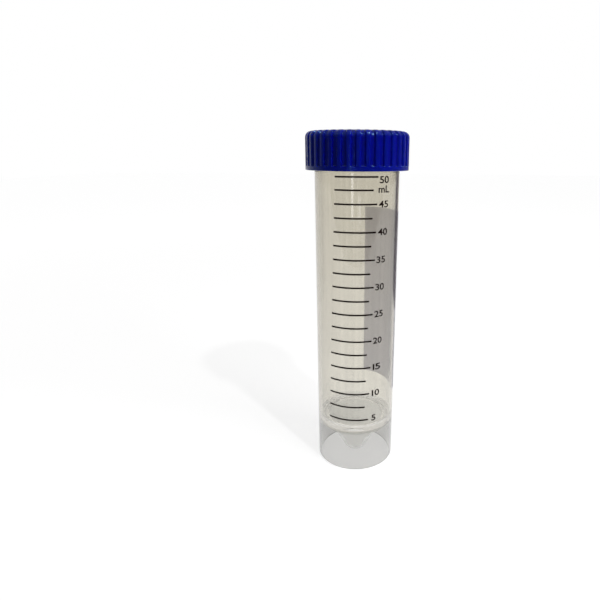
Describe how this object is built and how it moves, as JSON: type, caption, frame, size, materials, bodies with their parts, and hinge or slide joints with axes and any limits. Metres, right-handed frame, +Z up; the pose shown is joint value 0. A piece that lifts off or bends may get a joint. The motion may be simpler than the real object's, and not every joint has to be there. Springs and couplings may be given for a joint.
{
  "type": "conical tube",
  "caption": "Clear self-standing tube with a conical bottom, a printed volume scale and a ribbed blue screw cap that turns and rises on its thread.",
  "frame": {"origin": "centre of the foot, on the surface that the tube stands on", "axes": "+Z up along the tube's axis, from the foot to the cap; the printed scale faces -Y"},
  "size_m": [0.0346, 0.0346, 0.117],
  "materials": {
    "clear_polypropylene": "clear, injection moulded",
    "white_liner": "matt",
    "blue_polyethylene": "satin, injection moulded",
    "black_ink": "printed",
    "white_ink": "printed, matt"
  },
  "bodies": {
    "tube": {"tube_body": "clear_polypropylene"},
    "liner": {"sealing_liner": "white_liner"},
    "cap": {"screw_cap": "blue_polyethylene"}
  },
  "joints": [
    {"name": "cap_rise", "type": "slide", "parent": "tube", "child": "liner", "axis": [0, 0, 1], "range_m": [0, 0.0062]},
    {"name": "cap_turn", "type": "hinge", "parent": "liner", "child": "cap", "pos_m": [0, 0, 0.11], "axis": [0, 0, 1], "range_deg": [0, 630]}
  ],
  "couplings": [
    {"joint": "cap_rise", "follows": "cap_turn", "m_per_rad": 0.00055704}
  ]
}
